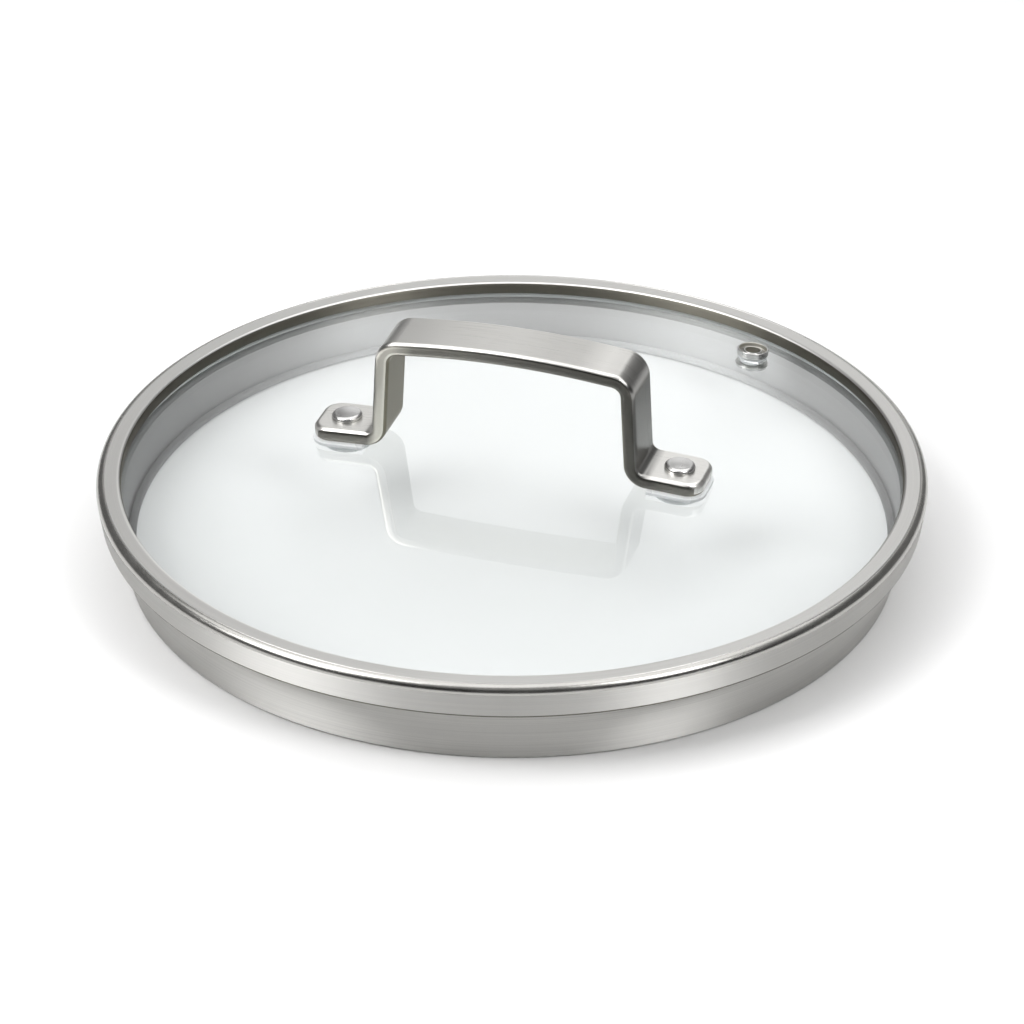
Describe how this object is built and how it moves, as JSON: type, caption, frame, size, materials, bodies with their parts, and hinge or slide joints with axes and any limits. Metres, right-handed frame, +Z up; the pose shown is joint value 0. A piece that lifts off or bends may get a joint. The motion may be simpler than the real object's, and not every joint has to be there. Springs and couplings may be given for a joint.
{
  "type": "glass saucepan lid",
  "caption": "Domed tempered-glass pan lid with a satin steel rim, a deep steel skirt that fits inside the pan, a riveted strap handle and a steam vent.",
  "frame": {"origin": "on the lid's axis, in the plane that the skirt's foot stands on", "axes": "+Z up along the lid's axis, X along the handle from foot to foot, Y across the handle, with the steam vent at +X and +Y"},
  "size_m": [0.25, 0.25, 0.0717],
  "materials": {
    "satin_steel": "fine circular satin",
    "polished_steel": "polished",
    "lid_glass": "clear, faint blue-green tint",
    "clear_silicone": "translucent, soft gloss"
  },
  "bodies": {
    "root": {"rim_ring": "satin_steel", "skirt_ring": "satin_steel", "glass_disc": "lid_glass", "glass_edge_seal": "clear_silicone", "handle_strap": "satin_steel", "rivet_left": "polished_steel", "rivet_right": "polished_steel", "foot_pad_left": "clear_silicone", "foot_pad_right": "clear_silicone", "soft_washer_left": "clear_silicone", "soft_washer_right": "clear_silicone", "steel_washer_left": "satin_steel", "steel_washer_right": "satin_steel", "vent_eyelet": "polished_steel", "vent_sleeve": "clear_silicone", "vent_washer": "satin_steel"}
  },
  "joints": []
}
